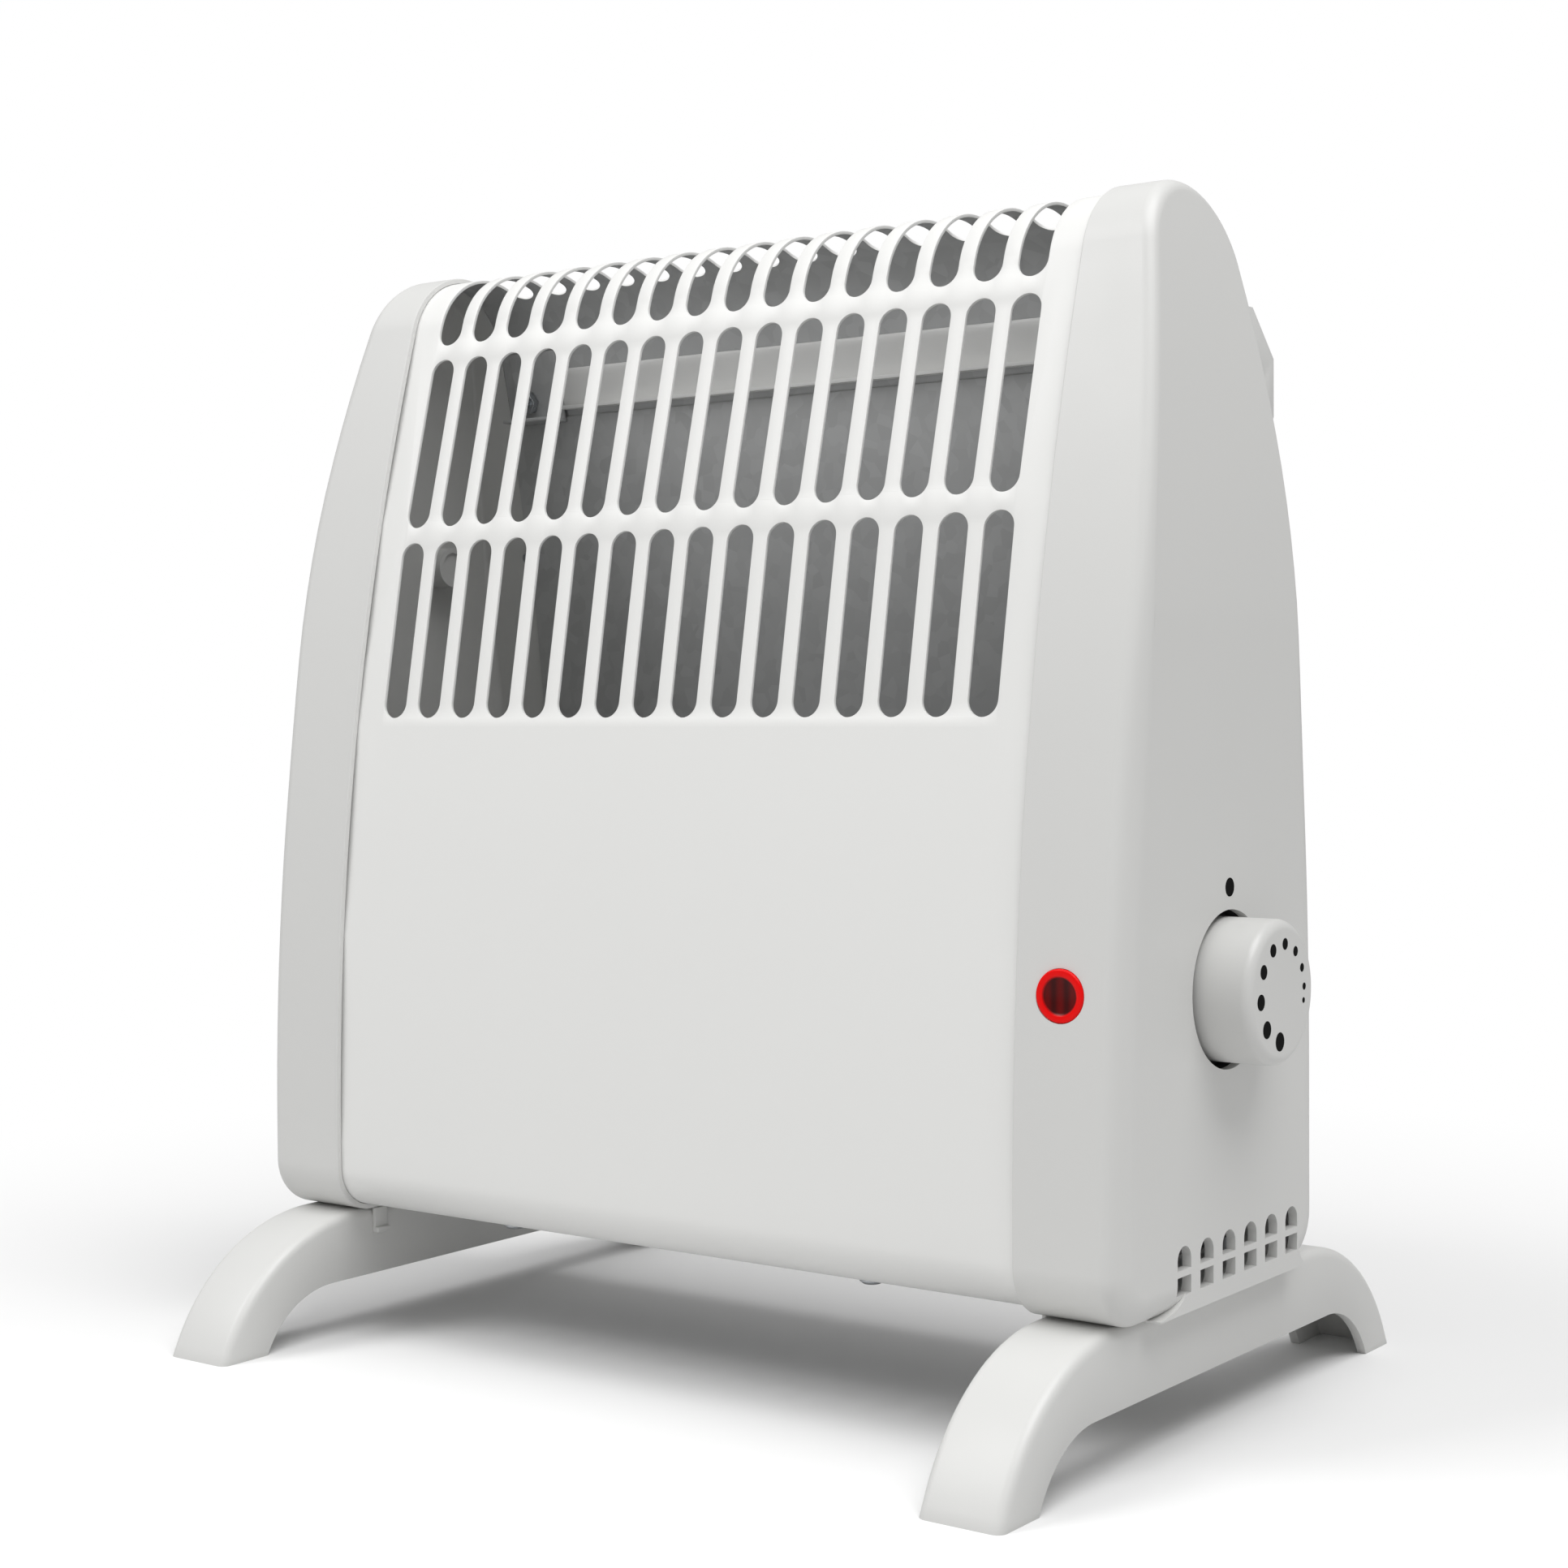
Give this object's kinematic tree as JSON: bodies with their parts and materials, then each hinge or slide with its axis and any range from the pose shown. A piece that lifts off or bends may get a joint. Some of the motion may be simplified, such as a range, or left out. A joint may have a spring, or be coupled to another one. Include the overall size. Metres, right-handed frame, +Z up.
{
  "type": "convector heater",
  "caption": "Small free-standing convector heater: slotted white steel casing between moulded end caps, arched feet, dial thermostat and red indicator on one end",
  "frame": {"origin": "centre of the object's box, on the floor that the feet stand on", "axes": "+Z up, front faces -Y, the dial end points to +X"},
  "size_m": [0.294, 0.205, 0.3056],
  "materials": {
    "painted_steel": "white satin powder coat",
    "white_plastic": "white moulded ABS, soft gloss",
    "knob_plastic": "white moulded ABS, gloss",
    "galvanised_steel": "bare zinc spangle",
    "screw_steel": "zinc plated",
    "dark_aluminium": "dark anodised fins",
    "sheath_steel": "steel tube sheath",
    "ceramic": "unglazed steatite, cream",
    "bronze": "phosphor bronze spring strip",
    "black_print": "black printed ink",
    "black_phenolic": "black phenolic",
    "red_lens": "red translucent polycarbonate",
    "lamp_glass": "clear glass bulb",
    "terminal_plastic": "off-white nylon",
    "brass": "plain brass",
    "black_nylon": "black nylon",
    "brown_insulation": "brown sleeving",
    "blue_insulation": "blue sleeving",
    "white_insulation": "white glass fibre sleeving",
    "red_insulation": "red sleeving"
  },
  "bodies": {
    "housing": {"casing": "painted_steel", "back_panel": "painted_steel", "bottom_pan": "galvanised_steel", "left_end_cap": "white_plastic", "right_end_cap": "white_plastic", "left_foot": "white_plastic", "right_foot": "white_plastic", "foot_latches": "white_plastic", "foot_screws": "screw_steel", "cap_screws": "screw_steel", "pan_screws": "screw_steel", "wall_brackets": "white_plastic", "bracket_screws": "screw_steel", "back_rail": "painted_steel", "rail_brackets": "galvanised_steel", "rail_nuts": "screw_steel", "heating_element": "dark_aluminium", "element_insulators": "ceramic", "element_brackets": "galvanised_steel", "element_rod": "sheath_steel", "thermostat_body": "ceramic", "thermostat_bush_nut": "screw_steel", "thermostat_blade": "bronze", "pointer_dot": "black_print", "thermal_cutout": "black_phenolic", "control_plate": "galvanised_steel", "indicator_lens": "red_lens", "neon_lamp": "lamp_glass", "lens_clip": "screw_steel", "terminal_block": "terminal_plastic", "terminal_screws": "brass", "cable_gland": "black_nylon", "gland_nut": "black_nylon", "lead_live": "brown_insulation", "lead_neutral": "blue_insulation", "lead_switched": "white_insulation", "lead_element": "white_insulation", "lead_lamp": "red_insulation"},
    "dial": {"dial_knob": "knob_plastic", "dial_dots": "black_print", "thermostat_spindle": "screw_steel"},
    "switch_pin": {"thermostat_pin": "ceramic"}
  },
  "joints": [
    {"name": "knob_turn", "type": "hinge", "parent": "housing", "child": "dial", "pos_m": [0.133, -0.005, 0.109], "axis": [-1, 0, 0], "range_deg": [-104, 172]},
    {"name": "pin_slide", "type": "slide", "parent": "housing", "child": "switch_pin", "axis": [-1, 0, 0], "range_m": [-0.0006, 0.0009]}
  ],
  "couplings": [
    {"joint": "pin_slide", "follows": "knob_turn", "m_per_rad": 0.00025}
  ]
}
